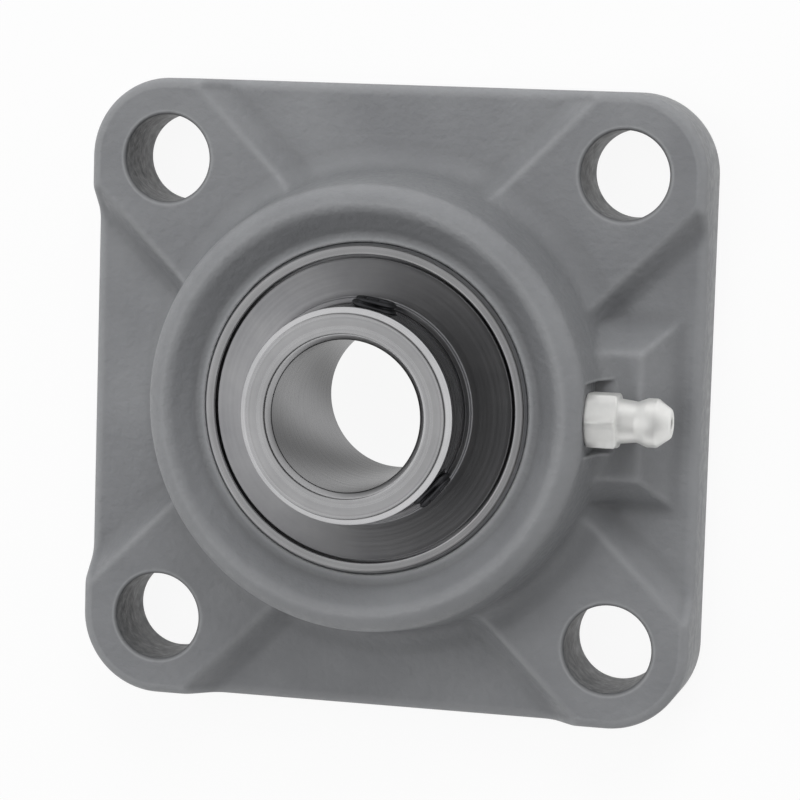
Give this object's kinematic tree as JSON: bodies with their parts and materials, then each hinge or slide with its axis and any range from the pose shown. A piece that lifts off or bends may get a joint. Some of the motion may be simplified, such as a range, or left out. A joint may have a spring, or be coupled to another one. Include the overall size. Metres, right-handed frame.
{
  "type": "square flange bearing",
  "caption": "Square flange housing in grey paint with bolt holes in its corner lugs, holding a self-aligning ball bearing insert with set screw locking and a grease fitting.",
  "frame": {"origin": "centre of the mounting face, on the shaft axis", "axes": "+Z along the shaft axis out of the front, +X towards the grease fitting, +Y across it"},
  "size_m": [0.086, 0.086, 0.0333],
  "materials": {
    "housing_paint": "slate grey machine enamel over a sand-cast skin",
    "bearing_steel": "ground bearing steel",
    "sheet_steel": "pressed bright sheet steel",
    "zinc_plate": "bright zinc plating",
    "seal_rubber": "matt black nitrile rubber",
    "black_screw": "black oxide"
  },
  "bodies": {
    "housing_unit": {"housing": "housing_paint", "grease_fitting_body": "zinc_plate", "grease_fitting_spring": "sheet_steel"},
    "check_ball": {"grease_check_ball": "bearing_steel"},
    "outer_race": {"outer_ring": "bearing_steel", "front_seal_core": "sheet_steel", "front_seal_lip": "seal_rubber", "rear_seal_core": "sheet_steel", "rear_seal_lip": "seal_rubber"},
    "inner_race": {"inner_ring": "bearing_steel", "front_slinger": "sheet_steel", "rear_slinger": "sheet_steel"},
    "cage": {"cage_front_half": "sheet_steel", "cage_rear_half": "sheet_steel", "cage_rivets": "sheet_steel"},
    "screw_1": {"set_screw_1": "black_screw"},
    "screw_2": {"set_screw_2": "black_screw"},
    "rolling_ball_1": {"ball_1": "bearing_steel"},
    "rolling_ball_2": {"ball_2": "bearing_steel"},
    "rolling_ball_3": {"ball_3": "bearing_steel"},
    "rolling_ball_4": {"ball_4": "bearing_steel"},
    "rolling_ball_5": {"ball_5": "bearing_steel"},
    "rolling_ball_6": {"ball_6": "bearing_steel"},
    "rolling_ball_7": {"ball_7": "bearing_steel"},
    "rolling_ball_8": {"ball_8": "bearing_steel"}
  },
  "joints": [
    {"name": "self_align", "type": "hinge", "parent": "housing_unit", "child": "outer_race", "pos_m": [0, 0, 0.015], "axis": [1, 0, 0], "range_deg": [-2, 2]},
    {"name": "shaft_spin", "type": "hinge", "parent": "outer_race", "child": "inner_race", "pos_m": [0, 0, 0.015], "axis": [0, 0, 1], "continuous": true},
    {"name": "cage_spin", "type": "hinge", "parent": "outer_race", "child": "cage", "pos_m": [0, 0, 0.015], "axis": [0, 0, 1], "continuous": true},
    {"name": "check_ball_press", "type": "slide", "parent": "housing_unit", "child": "check_ball", "axis": [-1, 0, 0], "range_m": [0, 0.0012], "stiffness_N_per_m": 400, "deforming": ["grease_fitting_spring"]},
    {"name": "screw_1_travel", "type": "slide", "parent": "inner_race", "child": "screw_1", "axis": [-0.766, 0.6428, 0], "range_m": [-0.0025, 0.0005]},
    {"name": "screw_2_travel", "type": "slide", "parent": "inner_race", "child": "screw_2", "axis": [-0.1736, -0.9848, 0], "range_m": [-0.0025, 0.0005]},
    {"name": "ball_1_roll", "type": "hinge", "parent": "cage", "child": "rolling_ball_1", "pos_m": [0.01675, 0, 0.015], "axis": [0, 0, 1], "continuous": true},
    {"name": "ball_2_roll", "type": "hinge", "parent": "cage", "child": "rolling_ball_2", "pos_m": [0.01184, 0.01184, 0.015], "axis": [0, 0, 1], "continuous": true},
    {"name": "ball_3_roll", "type": "hinge", "parent": "cage", "child": "rolling_ball_3", "pos_m": [0, 0.01675, 0.015], "axis": [0, 0, 1], "continuous": true},
    {"name": "ball_4_roll", "type": "hinge", "parent": "cage", "child": "rolling_ball_4", "pos_m": [-0.01184, 0.01184, 0.015], "axis": [0, 0, 1], "continuous": true},
    {"name": "ball_5_roll", "type": "hinge", "parent": "cage", "child": "rolling_ball_5", "pos_m": [-0.01675, 0, 0.015], "axis": [0, 0, 1], "continuous": true},
    {"name": "ball_6_roll", "type": "hinge", "parent": "cage", "child": "rolling_ball_6", "pos_m": [-0.01184, -0.01184, 0.015], "axis": [0, 0, 1], "continuous": true},
    {"name": "ball_7_roll", "type": "hinge", "parent": "cage", "child": "rolling_ball_7", "pos_m": [0, -0.01675, 0.015], "axis": [0, 0, 1], "continuous": true},
    {"name": "ball_8_roll", "type": "hinge", "parent": "cage", "child": "rolling_ball_8", "pos_m": [0.01184, -0.01184, 0.015], "axis": [0, 0, 1], "continuous": true}
  ],
  "couplings": [
    {"joint": "cage_spin", "follows": "shaft_spin", "ratio": 0.38152},
    {"joint": "ball_1_roll", "follows": "shaft_spin", "ratio": -1.9916},
    {"joint": "ball_2_roll", "follows": "shaft_spin", "ratio": -1.9916},
    {"joint": "ball_3_roll", "follows": "shaft_spin", "ratio": -1.9916},
    {"joint": "ball_4_roll", "follows": "shaft_spin", "ratio": -1.9916},
    {"joint": "ball_5_roll", "follows": "shaft_spin", "ratio": -1.9916},
    {"joint": "ball_6_roll", "follows": "shaft_spin", "ratio": -1.9916},
    {"joint": "ball_7_roll", "follows": "shaft_spin", "ratio": -1.9916},
    {"joint": "ball_8_roll", "follows": "shaft_spin", "ratio": -1.9916}
  ]
}
